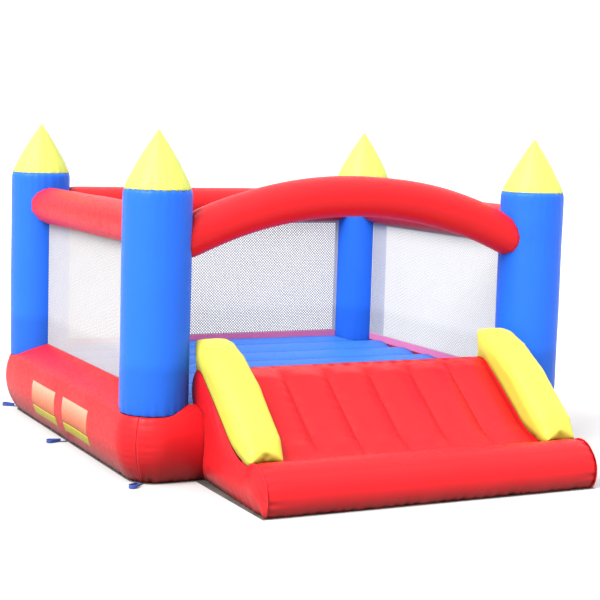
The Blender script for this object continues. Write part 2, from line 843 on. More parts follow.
class BounceFloor(bpy.types.Operator):
    """Sew the channelled bounce floor"""
    bl_idname = "bounce_house.bounce_floor"
    bl_label = "Bounce floor"

    def execute(self, context):
        seams = FLOOR_SEAMS
        pitch = seams[2] - seams[1]
        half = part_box("bounce_floor")[1].x - FLOOR_GAP
        bm = new_cloth()
        outline = Outline(bm, (seams[0], FLOOR_SEAM_Z))
        for seam in seams:
            middle, end = seam + pitch / 2, seam + pitch
            outline.arc((middle, FLOOR_CROWN_Z), (end, FLOOR_SEAM_Z), 26)
        outline.measure()
        _, along, seam_layer = layers_of(bm)
        # the section is drawn in XZ, so a quarter turn lays it along Y
        bmesh.ops.rotate(
            bm, verts=bm.verts, cent=(0, 0, 0),
            matrix=Matrix.Rotation(math.pi / 2, 3, "Z"),
        )
        bmesh.ops.translate(bm, verts=bm.verts, vec=(-half, 0, 0))
        sweep(bm, outline.edges(), Vector((2 * half / FLOOR_ROWS, 0, 0)), FLOOR_ROWS)
        bmesh.ops.bisect_plane(
            bm, geom=bm.verts[:] + bm.edges[:] + bm.faces[:], plane_co=(0, HALF_Y, 0),
            plane_no=(0, 1, 0), clear_outer=True,
        )
        for v in bm.verts:
            v[along] = v.co.x
            gap = min(abs(v.co.y - seam) for seam in seams)
            edge = min(half - abs(v.co.x), HALF_Y - v.co.y)
            v[seam_layer] = max(0.0, min(gap, edge))
        # clear of the posts at the four corners
        for v in bm.verts:
            away = HALF_Y - abs(v.co.y)
            inside = (POST_RADIUS + FLOOR_GAP) ** 2 - away ** 2
            if inside > 0 and abs(v.co.y) < HALF_Y + POST_RADIUS:
                v.co.x *= (HALF_X - math.sqrt(inside)) / half
        point_outwards(bm, Vector((0, 0, -5)))

        def relief(p, a, s, d):
            gap = min(abs(p.y - seam) for seam in seams)
            puckers = fold("floor channel", s, gap, 21)
            edge = fold("floor edge", p.y, half - abs(s), 22)
            groove = 0.0012 * math.exp(-gap / 0.01)
            puckers *= min(1.0, gap / 0.012)
            return groove + 0.4 * swell(p, 23, 3.5) + puckers + edge

        press_folds(bm, relief)
        floor = house_cloth("floor", dust=0.0, press=0.060, shade=0.85)
        make_piece(
            "bounce_floor_cloth", bm, floor, ["bounce_floor"],
            thickness=sizes().fabric,
        )
        return {"FINISHED"}


# ---- slide -------------------------------------------------------------------
TOE = (1.130, 0.003)
NOSE = (1.168, 0.120)
BOLSTER_SHOULDER = (1.108, 0.234)
BOLSTER_CROWN = (0.990, 0.288)
CREASE = (0.882, 0.247)
RUN_OUT = (0.740, 0.277)
SLOPE_FOOT = (0.604, 0.353)
SLOPE_TOP = (0.196, 0.658)
CREST_MIDDLE = (0.156, 0.678)
CREST = (0.116, 0.684)
REAR_BULGE = (0.036, 0.575)
REAR_FOOT = (0.079, 0.447)


def slide_sheet(draw, name, node, rule, width, seams=(), count=150):
    """One of the slide's panels that run across it, drawn as a section."""
    bm = new_cloth()
    outline = draw(bm)
    whole = outline.measure()
    bmesh.ops.translate(bm, verts=bm.verts, vec=(0, -width, 0))
    sweep(bm, outline.edges(), Vector((0, 2 * width / count, 0)), count)
    across, along, seam = layers_of(bm)
    for v in bm.verts:
        v[along] = v.co.y
        end = min(v[across], whole - v[across])
        lift = 0.05 * max(0.0, 1 - end / 0.16)  # no stitches near the two ends
        gaps = [abs(v.co.y - place) + lift for place in seams]
        edge = min(width - abs(v.co.y), end)
        v[seam] = min([2.5 * edge if seams else edge] + gaps)
    point_outwards(bm, Vector((0.5, 0, -0.3)))
    press_folds(bm, lambda p, a, s, d: max(rule(p, a, s, whole), web_limit(s)))
    place_on_side(bm, "front")
    material = house_cloth("red") if not seams else coated_cloth(
        "slide_coated_cloth", tuple(colours().red), press=0.034, shade=0.75
    )
    return make_piece(
        name, bm, material, [node], thickness=sizes().fabric,
    )


def web_limit(s):
    """How far the cloth may sink: it is held up where a web is sewn to it."""
    gap = min(abs(s - seam) for seam in SLIDE_SEAMS)
    return -0.0022 - 0.5 * max(0.0, gap - 0.004)


def bed_relief(p, a, s, whole):
    """The bed's long shallow channels, which fade at the crest and the crease."""
    pitch = SLIDE_SEAMS[1] - SLIDE_SEAMS[0]
    share = a / whole
    fade = ramp(share - 0.03, 0.16) * ramp(0.97 - share, 0.16)
    fade = fade * fade * (3 - 2 * fade)
    gap = min(abs(s - seam) for seam in SLIDE_SEAMS)
    arch = abs(math.sin(math.pi * (s - SLIDE_SEAMS[0]) / pitch)) ** 0.7
    rise = sizes().channel_rise * arch
    puckers = fold("bed channel", a, gap, 31) * min(1.0, gap / 0.03)
    ends = fold("bed end", s, min(a, whole - a), 33)
    ends *= min(1.0, min(a, whole - a) / 0.015)
    return fade * (rise + puckers) + ends + 0.35 * swell(p, 34, 3.0) + 0.001


def bolster_relief(p, a, s, whole):
    end = SLIDE_HALF - abs(s)
    sides = fold("bolster end", a, end, 41) * min(1.0, end / 0.012)
    hem = fold("bolster foot", s, a, 42)
    crease = fold("bolster crease", s, whole - a, 43)
    crease *= min(1.0, (whole - a) / 0.015)
    return sides + tuck(end, 0.013, 0.030) + hem + crease + swell(p, 44, 3.0)


def rear_relief(p, a, s, whole):
    end = SLIDE_HALF - abs(s)
    return fold("rear end", a, end, 51) + 0.6 * swell(p, 52, 3.0)


def draw_bolster(bm):
    outline = Outline(bm, TOE).arc(NOSE, BOLSTER_SHOULDER, 22)
    return outline.arc(BOLSTER_CROWN, CREASE, 20)


def draw_bed(bm):
    outline = Outline(bm, CREASE).arc(RUN_OUT, SLOPE_FOOT, 26)
    return outline.line(SLOPE_TOP, 40).arc(CREST_MIDDLE, CREST, 10)


def draw_rear(bm):
    return Outline(bm, CREST).arc(REAR_BULGE, REAR_FOOT, 26)


X, Z = 0, 2
NEAR_END = 1e-6  # wider than the rounding of a stored coordinate


def read_line(outline, given, wanted, value):
    """The wanted coordinate of a drawn line where its given one has a value."""
    for before, after in zip(outline, outline[1:]):
        low, high = sorted((before[given], after[given]))
        if low - NEAR_END <= value <= high + NEAR_END and high > low:
            share = (value - before[given]) / (after[given] - before[given])
            return before[wanted] + share * (after[wanted] - before[wanted])
    return outline[-1][wanted]


def height_over(outline, out):
    """The height of a drawn line over one distance out from the posts."""
    return read_line(outline, X, Z, out)


def out_at(outline, z):
    """How far out a drawn line is at one height."""
    return read_line(outline, Z, X, z)


def drawn_points(draw):
    bm = new_cloth()
    points = [v.co.copy() for v in draw(bm).verts]
    bm.free()
    return points


CHEEK_SPLIT = 0.4  # share of the tall part's rows that are below the crease
CHEEK_TUCK = 0.004
CHEEK_DEEPEST = -0.08


def make_cheek(side):
    """A side of the slide: a tall part up to the crest and the bolster's round end."""
    sign = -1 if side == "left" else 1
    bed, rear = drawn_points(draw_bed), drawn_points(draw_rear)
    wall = drawn_points(wall_face)
    wall_top = drawn_points(
        lambda bm: Outline(bm, SHOULDER).arc(FRONT_TOP[0], FRONT_TOP[1], 12)
    )
    bolster = drawn_points(draw_bolster)
    toe_side = [p for p in bolster if p.z <= NOSE[1] + 0.002]
    top_side = [p for p in bolster if p.z >= NOSE[1] - 0.002]

    def back_edge(z):
        if z <= SHOULDER[1]:
            return out_at(wall, z) + 0.002
        if z <= FRONT_TOP[0][1]:
            share = (z - SHOULDER[1]) / (FRONT_TOP[0][1] - SHOULDER[1])
            low = out_at(wall_top[:8], z)
            return low + 0.002 + share * share * (out_at(rear, z) - low)
        return out_at(rear, z)

    def front_edge(z):
        return CREASE[0] if z <= CREASE[1] else out_at(bed, z)

    bm = new_cloth()
    across, along, seam = layers_of(bm)
    bmesh.ops.create_grid(bm, x_segments=46, y_segments=60, size=0.5)
    for v in bm.verts:
        u, w = v.co.x + 0.5, v.co.y + 0.5
        if w <= CHEEK_SPLIT:  # these rows meet the rows of the round end
            z = FOOT[1] + w / CHEEK_SPLIT * (CREASE[1] - FOOT[1])
        else:
            share = (w - CHEEK_SPLIT) / (1 - CHEEK_SPLIT)
            z = CREASE[1] + share * (CREST[1] - CREASE[1])
        low, high = back_edge(z), front_edge(z)
        out = low + u * (high - low)
        v.co = Vector((out, 0, z))
        crease = math.hypot(CREASE[0] - out, CREASE[1] - z)
        front = high - out if w > CHEEK_SPLIT else crease
        v[seam] = min(out - low, front, z - FOOT[1] + 0.001, CREST[1] - z + 0.001)
    tall = set(bm.verts)
    bmesh.ops.create_grid(bm, x_segments=20, y_segments=24, size=0.5)
    nose = NOSE[0] - 0.0005
    for v in bm.verts:
        if v in tall:
            continue
        u, w = v.co.x + 0.5, v.co.y + 0.5
        out = CREASE[0] + math.sin(u * math.pi / 2) * (nose - CREASE[0])
        low = FOOT[1] if out < TOE[0] else height_over(toe_side, out)
        high = height_over(top_side[::-1], out)
        z = low + w * (high - low)
        v.co = Vector((out, 0, z))
        v[seam] = min(w * (high - low), (1 - w) * (high - low), nose - out + 0.001)
    bmesh.ops.remove_doubles(bm, verts=bm.verts, dist=0.0006)
    bmesh.ops.recalc_face_normals(bm, faces=bm.faces)
    for v in bm.verts:
        v[across], v[along] = v.co.z, v.co.x
        if v.is_boundary:
            v[seam] = 0.0
        near = max(0.0, v[seam])
        full = 1 - math.exp(-near / 0.055)
        roll = bell(v.co.x, centre=1.02, width=0.13, height=0.018)
        belly = bell(v.co.x, centre=0.48, width=0.28, height=0.030) * (1 - v.co.z / 0.9)
        proud = full * (0.012 + roll + belly)
        seam_run = v.co.z if v.co.x < 0.3 else v.co.x + v.co.z
        proud += fold("cheek", seam_run, near, 61 + sign) * full * 1.6
        hem = fold("cheek foot", v.co.x, v.co.z, 64 + sign)
        low_tuck = -0.05 * max(0.0, 1 - v.co.z / 0.16) ** 2
        low_tuck *= max(0.0, 1 - (v.co.x - 0.2) / 0.9)
        stands = max(CHEEK_DEEPEST, proud + hem + low_tuck)
        v.co.y = sign * (SLIDE_HALF - CHEEK_TUCK + stands)
    point_outwards(bm, Vector((0.5, 0, 0.2)))
    place_on_side(bm, "front")
    make_piece(
        "slide_%s_cheek_cloth" % side, bm, house_cloth("red"),
        ["slide_%s_cheek" % side], thickness=sizes().fabric,
    )


class Slide(bpy.types.Operator):
    """Sew the slide: rear panel, channelled bed, bolster and two cheeks"""
    bl_idname = "bounce_house.slide"
    bl_label = "Slide"

    def execute(self, context):
        width = SLIDE_HALF - 0.003
        slide_sheet(draw_bolster, "slide_bolster_cloth", "slide_front_bolster",
                    bolster_relief, width)
        slide_sheet(draw_bed, "slide_bed_cloth", "slide_bed", bed_relief, width,
                    seams=SLIDE_SEAMS)
        slide_sheet(draw_rear, "slide_rear_cloth", "slide_rear_panel", rear_relief,
                    width)
        for side in ("left", "right"):
            make_cheek(side)
        return {"FINISHED"}


# ---- bumpers -----------------------------------------------------------------
def inflate(piece, pressure, cap, frames=20):
    """Blow up a closed cloth shape and keep each point within a limit of its start."""
    rest = [v.co.copy() for v in piece.data.vertices]
    cloth = piece.modifiers.new("air", "CLOTH")
    settings = cloth.settings
    settings.quality = 5
    settings.mass = 0.3
    settings.tension_stiffness = settings.compression_stiffness = 15
    settings.shear_stiffness = 5
    settings.bending_stiffness = 0.5
    settings.use_pressure = True
    settings.uniform_pressure_force = pressure
    settings.effector_weights.gravity = 0.0
    cloth.collision_settings.use_collision = False
    cloth.point_cache.frame_start, cloth.point_cache.frame_end = 1, frames
    scene = bpy.context.scene
    for number in range(1, frames + 1):
        scene.frame_set(number)
    blown = piece.evaluated_get(bpy.context.evaluated_depsgraph_get())
    moved = [v.co.copy() for v in blown.data.vertices]
    piece.modifiers.remove(cloth)
    for v, start, end in zip(piece.data.vertices, rest, moved):
        step = end - start
        if step.length > cap:
            step *= cap / step.length
        v.co = start + step
    scene.frame_set(1)


FAR_FROM_SEAM = 1.0
BUMPER_WIDTH = 0.226
BUMPER_GAP = 0.006  # left for the air to fill at its sides, and its depth in the bed
BUMPER_CELL = 0.011
BUMPER_PRESSURE = 4.0
BUMPER_LIMIT = 0.022  # how far the air may move a point
BUMPER_TOP = [
    (0.083, 0.660), (0.060, 0.862), (0.190, 0.858), (0.330, 0.808), (0.560, 0.668),
    (0.868, 0.405), (0.938, 0.272),
]
BUMPER_END = 0.93


class Bumpers(bpy.types.Operator):
    """Sew the two padded bumpers along the slide's edges"""
    bl_idname = "bounce_house.bumpers"
    bl_label = "Bumpers"

    def execute(self, context):
        bed = drawn_points(draw_bed)
        for side in ("left", "right"):
            sign = -1 if side == "left" else 1
            self.make(side, sign, bed)
        return {"FINISHED"}

    def make(self, side, sign, bed):
        bm = bmesh.new()
        top = [section(place) for place in BUMPER_TOP]
        under = [p - Vector((0, 0, BUMPER_GAP)) for p in bed if p.x < BUMPER_END]
        ring = [bm.verts.new(p) for p in top + under[::2] + [under[-1]]]
        face = bm.faces.new(ring)
        made = bmesh.ops.extrude_face_region(bm, geom=[face])["geom"]
        across = (0, BUMPER_WIDTH - BUMPER_GAP, 0)
        bmesh.ops.translate(bm, verts=verts_of(made), vec=across)
        low = SLIDE_HALF - BUMPER_WIDTH + BUMPER_GAP if sign > 0 else -SLIDE_HALF
        bmesh.ops.translate(bm, verts=bm.verts, vec=(0, low, 0))
        bmesh.ops.recalc_face_normals(bm, faces=bm.faces)
        bmesh.ops.triangulate(bm, faces=bm.faces)
        place_on_side(bm, "front")
        work = finish_mesh("bumper", bm)
        voxels = work.modifiers.new("voxels", "REMESH")
        voxels.mode = "VOXEL"
        voxels.voxel_size = BUMPER_CELL
        even = work.evaluated_get(bpy.context.evaluated_depsgraph_get())
        work.data = bpy.data.meshes.new_from_object(even)
        work.modifiers.clear()
        inflate(work, BUMPER_PRESSURE, BUMPER_LIMIT)
        bm = new_cloth()
        bm.from_mesh(work.data)
        bpy.data.objects.remove(work)
        for _ in range(3):
            bmesh.ops.smooth_vert(
                bm, verts=bm.verts, factor=0.5, use_axis_x=True, use_axis_y=True,
                use_axis_z=True,
            )
        for name in CLOTH_LAYERS:
            if name not in bm.verts.layers.float:
                bm.verts.layers.float.new(name)
        across, along, seam = layers_of(bm)
        for v in bm.verts:
            v[across], v[along], v[seam] = v.co.x, v.co.y - v.co.z, FAR_FROM_SEAM
        make_piece(
            side + "_bumper_cloth", bm, house_cloth("yellow"), [side + "_bumper"],
            levels=1,
        )


# ---- posts and cone caps -----------------------------------------------------
def tube_cloth(radius, stations, count):
    """A closed tube along +Z whose rings stand at the given heights."""
    bm = new_cloth()
    layers = bm.verts.layers.float
    ring = bmesh.ops.create_circle(bm, segments=count, radius=radius, cap_ends=False)
    bmesh.ops.translate(bm, verts=ring["verts"], vec=(0, 0, stations[0]))
    edges = bm.edges[:]
    for before, after in zip(stations, stations[1:]):
        edges = sweep(bm, edges, Vector((0, 0, after - before)), 1)
    for v in bm.verts:
        v[layers["across"]] = (math.atan2(v.co.y, v.co.x) % math.tau) * radius
        v[layers["along"]] = v.co.z
    return bm


def tube_along_y(low, high, radius, stations):
    """A closed tube of cloth along +Y round the middle of a box."""
    bm = tube_cloth(radius, stations, 72)
    middle = (low + high) / 2
    place = Matrix.Translation((middle.x, 0, middle.z))
    turn = Matrix.Rotation(-math.pi / 2, 4, "X")
    bmesh.ops.transform(bm, matrix=place @ turn, verts=bm.verts)
    return bm, middle


def close_ends(bm):
    """Close the open rings of a tube with plain faces."""
    bmesh.ops.holes_fill(bm, edges=[e for e in bm.edges if e.is_boundary], sides=0)


def graded(low, high, fine, coarse, reach):
    """Heights from low to high, close together near both ends."""
    places = [low]
    while places[-1] < high - fine * 1.5:
        gap = min(places[-1] - low, high - places[-1])
        share = min(1.0, max(0.0, gap / reach))
        places.append(places[-1] + fine + (coarse - fine) * share)
    places[-1] = high
    return places


class Posts(bpy.types.Operator):
    """Sew the four corner posts and their cone caps"""
    bl_idname = "bounce_house.posts"
    bl_label = "Posts and caps"

    def execute(self, context):
        for number, (place, (x, y)) in enumerate(POSTS.items()):
            self.make_post(place, x, y, 70 + number)
            self.make_cone(place, x, y, 80 + number)
        return {"FINISHED"}

    def make_post(self, place, x, y, seed):
        low, high = (corner.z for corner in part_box(place + "_post"))
        bm = tube_cloth(POST_RADIUS, graded(low, high, 0.011, 0.06, 0.25), 110)
        seam = bm.verts.layers.float["seam"]
        for v in bm.verts:
            v[seam] = min(v.co.z - low, high - v.co.z)

        def relief(p, a, s, d):
            foot = fold("post foot", a, p.z - low, seed)
            top = fold("post top", a, high - p.z, seed + 0.5)
            foot_tuck = tuck(p.z - low, 0.004, 0.020)
            top_tuck = tuck(high - p.z, 0.007, 0.018)
            rail = fold("post rail", a, abs(abs(p.z - RAIL_Z) - RAIL_RADIUS), seed + 3)
            return foot + top + foot_tuck + top_tuck + rail + 0.5 * swell(p, seed, 2.0)

        press_folds(bm, relief)
        close_ends(bm)
        bmesh.ops.translate(bm, verts=bm.verts, vec=(x, y, 0))
        point_outwards(bm, Vector((x, y, (low + high) / 2)))
        make_piece(
            place + "_post_cloth", bm, house_cloth("blue"), [place + "_post"],
        )

    def make_cone(self, place, x, y, seed):
        low, high = (corner.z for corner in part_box(place + "_cone"))
        tall = high - low
        bm = new_cloth()
        layers = bm.verts.layers.float
        tip = 0.010
        outline = Outline(bm, (POST_RADIUS, 0.0)).line((tip, tall - tip * 0.7), 44)
        outline.arc((tip * 0.6, tall - tip * 0.25), (0.0, tall), 6)
        outline.measure()
        bmesh.ops.spin(
            bm, geom=outline.verts + outline.edges(), cent=(0, 0, 0), axis=(0, 0, 1),
            angle=math.tau, steps=110, use_duplicate=False, use_merge=True,
        )
        bmesh.ops.remove_doubles(bm, verts=bm.verts, dist=1e-5)
        for v in bm.verts:
            angle = math.atan2(v.co.y, v.co.x)
            v[layers["along"]] = angle * POST_RADIUS
            gore = abs((angle / (math.pi / 2)) % 1.0 - 0.5) * (math.pi / 2)
            gap = (math.pi / 4 - gore) * max(0.001, math.hypot(v.co.x, v.co.y))
            v[layers["seam"]] = min(v.co.z, gap)

        def relief(p, a, s, d):
            foot = fold("cap foot", s, p.z, seed)
            belly = 0.006 * math.sin(math.pi * min(1.0, p.z / tall))
            edge = tuck(d, 0.003, 0.012) if p.z > 0.02 else 0.0
            fade = min(1.0, math.hypot(p.x, p.y) / 0.05)
            return (foot + tuck(p.z, 0.008, 0.016) + belly + edge) * fade

        point_outwards(bm, Vector((0, 0, 0.1)))
        press_folds(bm, relief)
        close_ends(bm)
        bmesh.ops.translate(bm, verts=bm.verts, vec=(x, y, low))
        point_outwards(bm, Vector((x, y, low + 0.1)))
        make_piece(
            place + "_cap_cloth", bm, house_cloth("cap"), [place + "_cone"],
        )


# ---- rails and arch ----------------------------------------------------------
def saddle(offset):
    """How far from a post's axis its surface is, beside a tube that runs into it."""
    return math.sqrt(max(0.0, POST_RADIUS ** 2 - offset ** 2))


ARCH_RADIUS = 2.75  # of the line through the middle of the front arch


class Rails(bpy.types.Operator):
    """Sew the three straight top rails and the front arch"""
    bl_idname = "bounce_house.rails"
    bl_label = "Rails and arch"

    def execute(self, context):
        for number, side in enumerate(("left", "right", "back")):
            self.make_rail(side, 90 + number)
        self.make_arch(95)
        return {"FINISHED"}

    def relief(self, p, a, gap, seed):
        ends = fold("rail end", a, gap, seed)
        return ends + tuck(gap, 0.007, 0.022) + 0.6 * swell(p, seed, 2.4)

    def make_rail(self, side, seed):
        half = SIDES[side][2]
        reach = half - POST_RADIUS
        bm = tube_cloth(RAIL_RADIUS, graded(-reach, reach, 0.011, 0.05, 0.3), 72)
        turn = Matrix.Rotation(-math.pi / 2, 4, "X")
        bmesh.ops.transform(
            bm, matrix=Matrix.Translation((0, 0, RAIL_Z)) @ turn, verts=bm.verts
        )
        seam = bm.verts.layers.float["seam"]
        for v in bm.verts:
            v[seam] = reach - abs(v.co.y)
            v.co.y *= (half - saddle(v.co.x)) / reach
        point_outwards(bm, Vector((0, 0, RAIL_Z)))
        press_folds(bm, lambda p, a, s, d: self.relief(p, a, d, seed))
        close_ends(bm)
        point_outwards(bm, Vector((0, 0, RAIL_Z)))
        place_on_side(bm, side)
        make_piece(
            side + "_rail_cloth", bm, house_cloth("red"), [side + "_rail"],
        )

    def make_arch(self, seed):
        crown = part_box("front_arch")[1].z - RAIL_RADIUS
        radius = ARCH_RADIUS
        centre = Vector((0, -HALF_Y, crown - radius))
        sweep_angle = math.asin((HALF_X - POST_RADIUS) / radius)
        bm = new_cloth()
        layers = bm.verts.layers.float
        ring = bmesh.ops.create_circle(
            bm, segments=72, radius=RAIL_RADIUS, cap_ends=False,
            matrix=Matrix.Rotation(math.pi / 2, 4, "Y"),
        )
        crown_line = centre + Vector((0, 0, radius))
        bmesh.ops.translate(bm, verts=ring["verts"], vec=crown_line)
        bmesh.ops.rotate(
            bm, verts=bm.verts, cent=centre,
            matrix=Matrix.Rotation(-sweep_angle, 3, "Y"),
        )
        for v in bm.verts:
            out = (v.co - centre).length - radius
            turn = math.atan2(out, v.co.y - centre.y) % math.tau
            v[layers["across"]] = turn * RAIL_RADIUS
        bmesh.ops.spin(
            bm, geom=bm.verts[:] + bm.edges[:], cent=centre, axis=(0, 1, 0),
            angle=2 * sweep_angle, steps=150, use_duplicate=False,
        )
        for v in bm.verts:
            flat = Vector((v.co.x, 0, v.co.z - centre.z))
            angle = math.atan2(flat.x, flat.z)
            stop = math.asin((HALF_X - saddle(v.co.y + HALF_Y)) / flat.length)
            turned = angle / sweep_angle * stop
            v[layers["seam"]] = max(0.0, (sweep_angle - abs(angle)) * radius)
            v[layers["along"]] = angle * radius
            v.co.x = math.sin(turned) * flat.length
            v.co.z = centre.z + math.cos(turned) * flat.length
        point_outwards(bm, Vector((0, -HALF_Y, crown)))
        press_folds(bm, lambda p, a, s, d: self.relief(p, a, d, seed))
        close_ends(bm)
        bmesh.ops.recalc_face_normals(bm, faces=bm.faces)
        make_piece(
            "front_arch_cloth", bm, house_cloth("red"), ["front_arch"],
        )


# ---- nets --------------------------------------------------------------------
NET_FOOT_Z = 0.467


def net_window(side):
    """Half the length of a net, its foot and its top."""
    half = SIDES[side][2] - POST_RADIUS - 0.0005
    foot = NET_FOOT_Z
    top = RAIL_Z - RAIL_RADIUS + 0.003
    return half, foot, top


def net_strands(bm, half, foot, top, lean, out):
    """Lay thin strands at a slant across the window, side by side."""
    pitch, width = sizes().net_pitch, sizes().net_strand
    tall = top - foot
    spacing = pitch * math.sqrt(2)
    count = int((2 * half + tall) / spacing)
    for number in range(1, count + 1):
        shift = number * spacing
        start_x, start_z = min(shift, 2 * half), max(0.0, shift - 2 * half)
        end_x, end_z = max(0.0, shift - tall), min(shift, tall)
        start = Vector((out, start_x - half, foot + start_z))
        end = Vector((out, end_x - half, foot + end_z))
        if lean < 0:
            start.y, end.y = -start.y, -end.y
        run = (end - start).length
        if run < 2 * pitch:
            continue
        angle = math.atan2(end.z - start.z, end.y - start.y)
        matrix = (
            Matrix.Translation((start + end) / 2)
            @ Matrix.Rotation(angle, 4, "X")
            @ Matrix.Diagonal((0.001, run, width, 1.0))
        )
        bmesh.ops.create_cube(bm, size=1.0, matrix=matrix)


class Nets(bpy.types.Operator):
    """Knit the three nets and sew their tapes on"""
    bl_idname = "bounce_house.nets"
    bl_label = "Nets"

    def execute(self, context):
        for side in ("left", "right", "back"):
            tape = self.make_tape(side)
            self.make_net(side, tape)
        return {"FINISHED"}

    def make_net(self, side, tape):
        half, foot, top = net_window(side)
        bm = new_cloth()
        net_strands(bm, half, foot, top, 1, -0.0009)
        net_strands(bm, half, foot, top, -1, -0.0019)
        for v in bm.verts:
            v[bm.verts.layers.float["across"]] = v.co.z
            v[bm.verts.layers.float["along"]] = v.co.y
        place_on_side(bm, side)
        material = woven_tape("net_strand", tuple(colours().net), 2400.0)
        net = make_piece(
            side + "_net_mesh", bm, material, [side + "_net"],
            is_smooth=False,
        )

    def make_tape(self, side):
        half, foot, top = net_window(side)
        bm = new_cloth()
        bmesh.ops.create_grid(bm, x_segments=60, y_segments=30, size=0.5)
        width = sizes().tape
        inner_half, low, high = half - width, foot + sizes().hem, top - width

        def squeeze(t, count, edge, inner):
            """Keep the outer cell of a grid as wide as the tape."""
            cell = 1.0 / count
            if abs(t) > 0.5 - cell * 0.5:
                return math.copysign(edge, t)
            return t / (0.5 - cell) * inner

        middle_z, half_z = (low + high) / 2, (high - low) / 2
        for v in bm.verts:
            along = squeeze(v.co.x, 60, half, inner_half)
            edge = width if v.co.y > 0 else sizes().hem
            up = squeeze(v.co.y, 30, half_z + edge, half_z)
            v.co = Vector((-0.0052, along, middle_z + up))
        gone = [
            f for f in bm.faces
            if abs(f.calc_center_median().y) < inner_half
            and low < f.calc_center_median().z < high
        ]
        bmesh.ops.delete(bm, geom=gone, context="FACES")
        layers = bm.verts.layers.float
        for v in bm.verts:
            v[layers["across"]], v[layers["along"]] = v.co.z, v.co.y + v.co.z
            v[layers["seam"]] = 0.0 if v.is_boundary else 0.02
        made = bmesh.ops.extrude_face_region(bm, geom=bm.faces[:])["geom"]
        bmesh.ops.translate(bm, verts=verts_of(made), vec=(0.0019, 0, 0))
        bmesh.ops.recalc_face_normals(bm, faces=bm.faces)
        place_on_side(bm, side)
        return make_piece(
            side + "_net_tape", bm, net_tape(low), [side + "_net_binding"],
            is_smooth=False,
        )


# ---- ground sheet, anchors, sleeves and side panels --------------------------
class GroundSheet(bpy.types.Operator):
    """Cut the ground sheet"""
    bl_idname = "bounce_house.ground_sheet"
    bl_label = "Ground sheet"

    def execute(self, context):
        low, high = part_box("ground_sheet")
        material = house_cloth("sheet", is_sewn=False, dust=0.6)
        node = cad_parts["ground_sheet"]
        bm = new_cloth()
        bm.from_mesh(node.data)
        bmesh.ops.remove_doubles(bm, verts=bm.verts, dist=1e-5)
        bmesh.ops.dissolve_limit(
            bm, angle_limit=0.01, verts=bm.verts, edges=bm.edges
        )
        area = sum(f.calc_area() for f in bm.faces if f.normal.z > 0.9)
        sheet = make_piece(
            "ground_sheet_cloth", bm, material, ["ground_sheet"],
            is_smooth=False,
        )
        flat = (high.x - low.x, high.y - low.y)
        area = min(area, 0.99 * flat[0] * flat[1])
        return {"FINISHED"}


ANCHORS = {
    "front_left": (-HALF_X, -HALF_Y, 225.0),
    "front_right": (HALF_X, -HALF_Y, 315.0),
    "back_left": (-HALF_X, HALF_Y, 135.0),
    "back_right": (HALF_X, HALF_Y, 45.0),
    "left": (-HALF_X, 0.0, 180.0),
    "right": (HALF_X, 0.0, 0.0),
}


ANCHOR_CLEAR = 0.0105  # from the walls' foot line to the start of a loop's tab
LOOP_STEPS = 8


class Anchors(bpy.types.Operator):
    """Sew the six webbing anchor loops"""
    bl_idname = "bounce_house.anchors"
    bl_label = "Anchor loops"

    def execute(self, context):
        material = woven_tape("anchor_webbing", tuple(colours().webbing), 900.0)
        for place, (x, y, turn) in ANCHORS.items():
            self.make_loop(place, x, y, math.radians(turn), material)
        return {"FINISHED"}

    def strand(self, bm, last, end):
        """A straight run of webbing from a point, in even steps."""
        start = last.co.copy()
        for step in range(1, LOOP_STEPS + 1):
            last = bmesh.ops.extrude_vert_indiv(bm, verts=[last])["verts"][0]
            last.co = start.lerp(end, step / LOOP_STEPS)
        return last

    def make_loop(self, place, x, y, turn, material):
        thick, width, clear = 0.003, 0.022, 0.001
        radius, tab, join = 0.0255, 0.095, 0.045
        centre = tab + 0.024
        bm = new_cloth()
        lean = math.asin(radius / (centre - join))
        touch_x, touch_y = centre - radius * math.sin(lean), radius * math.cos(lean)
        touch = Vector((touch_x, touch_y, clear))
        first = bm.verts.new((join, 0.0005, clear))
        last = self.strand(bm, first, touch)
        known = set(bm.verts)
        bmesh.ops.spin(
            bm, geom=[last], cent=(centre, 0, clear), axis=(0, 0, 1),
            angle=-(math.pi + 2 * lean), steps=28, use_duplicate=False,
        )
        arc = [v for v in bm.verts if v not in known]
        self.strand(bm, arc[-1], Vector((join, -0.0005, clear)))
        sweep(bm, bm.edges[:], Vector((0, 0, width / 6)), 6)
        bmesh.ops.solidify(bm, geom=bm.faces[:], thickness=thick)
        # the flat tab, doubled, with its crossed box of stitches
        for layer in range(2):
            up = clear + thick * (0.25 + 0.5 * layer)
            matrix = Matrix.Translation((join / 2 + 0.002, 0, up))
            bmesh.ops.create_cube(
                bm, size=1.0,
                matrix=matrix @ Matrix.Diagonal((join + 0.004, width, thick * 0.48, 1)),
            )
        for angle in (0.0, 0.72, -0.72):
            spin = Matrix.Rotation(angle, 4, "Z")
            matrix = Matrix.Translation((join / 2, 0, clear + thick))
            bmesh.ops.create_cube(
                bm, size=1.0,
                matrix=matrix @ spin @ Matrix.Diagonal((join * 0.8, 0.001, 0.0006, 1)),
            )
        bmesh.ops.recalc_face_normals(bm, faces=bm.faces)
        low = FOOT[0] + ANCHOR_CLEAR
        matrix = (
            Matrix.Translation((x, y, 0)) @ Matrix.Rotation(turn, 4, "Z")
            @ Matrix.Translation((low, 0, 0))
        )
        bmesh.ops.transform(bm, matrix=matrix, verts=bm.verts)
        make_piece(
            place + "_anchor_webbing", bm, material, [place + "_anchor_loop"],
            body=place + "_anchor",
        )


